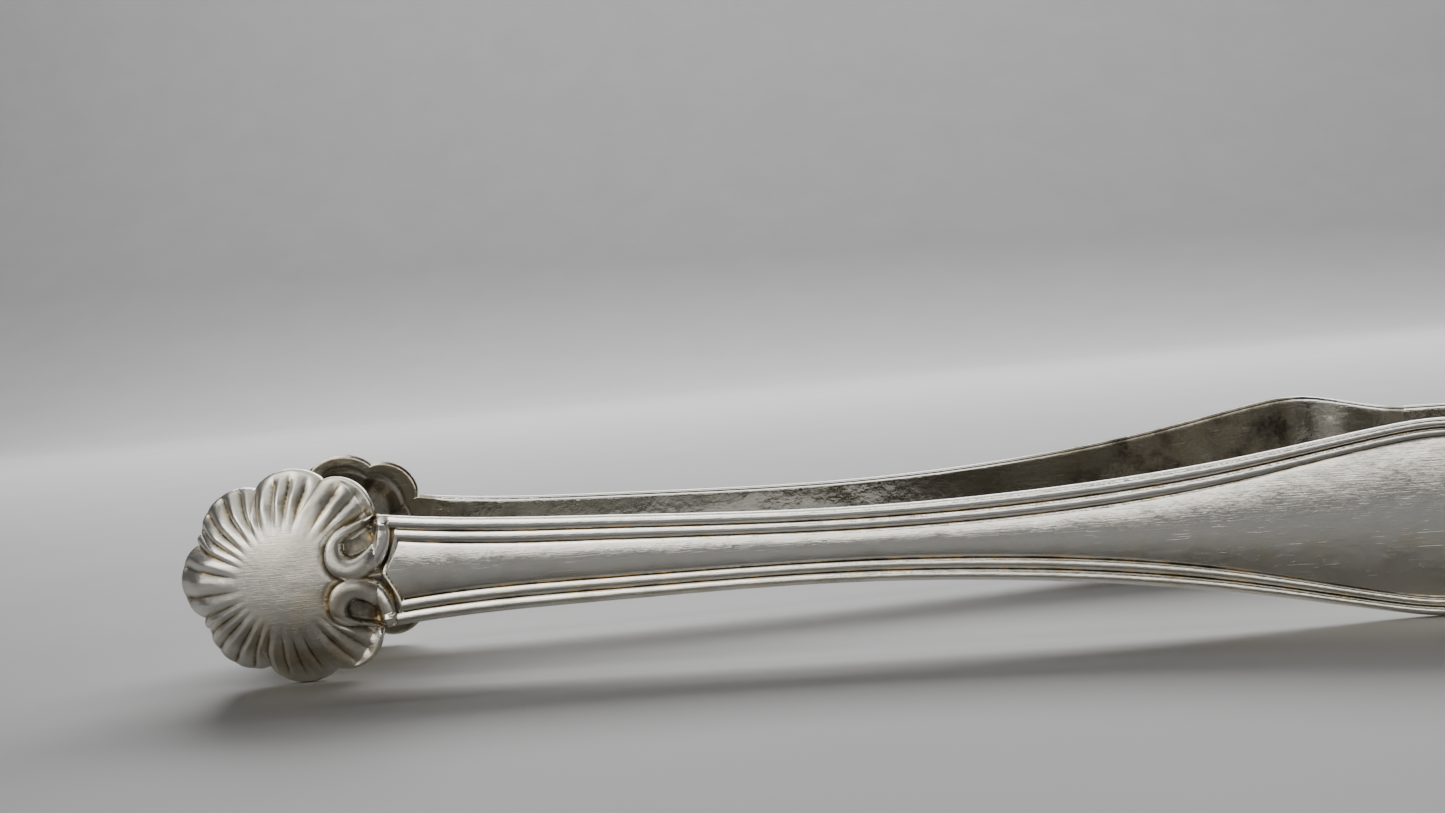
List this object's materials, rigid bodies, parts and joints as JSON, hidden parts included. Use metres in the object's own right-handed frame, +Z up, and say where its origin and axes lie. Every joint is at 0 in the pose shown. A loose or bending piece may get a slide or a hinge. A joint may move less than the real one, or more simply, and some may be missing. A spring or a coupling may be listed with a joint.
{
  "type": "ice tongs",
  "caption": "Sprung ice tongs: a bent spring bow with two threaded, waisted arms that end in facing scallop-shell grips.",
  "frame": {"origin": "middle of the bounding box's base, on the table the tongs lie on", "axes": "+X along the tongs from the shells to the bow, +Y across the gap between the arms, +Z up from the table; the tongs lie on edge, leaned about one degree so the shells and the shoulders both touch the table"},
  "size_m": [0.1472, 0.0436, 0.0201],
  "materials": {
    "silver_bow": "polished silver, finely scratched, light tarnish",
    "silver_arm": "satin-worn silver with a bright threaded edge and tarnished grooves",
    "silver_shell": "struck silver relief, brushed dome, warm brown tarnish in the flutes"
  },
  "bodies": {
    "bow": {"spring_bow": "silver_bow"},
    "arm_a": {"arm_left": "silver_arm", "shell_left": "silver_shell"},
    "arm_b": {"arm_right": "silver_arm", "shell_right": "silver_shell"}
  },
  "joints": [
    {"name": "left_flex", "type": "hinge", "parent": "bow", "child": "arm_a", "pos_m": [0.06128, 0.01585, 0.00783], "axis": [0.0178, 0, 0.9998], "range_deg": [0, 3], "stiffness_Nm_per_rad": 5.6, "deforming": ["spring_bow"]},
    {"name": "right_flex", "type": "hinge", "parent": "bow", "child": "arm_b", "pos_m": [0.06128, -0.01585, 0.00783], "axis": [-0.0178, 0, -0.9998], "range_deg": [0, 3], "stiffness_Nm_per_rad": 5.6, "deforming": ["spring_bow"]}
  ]
}
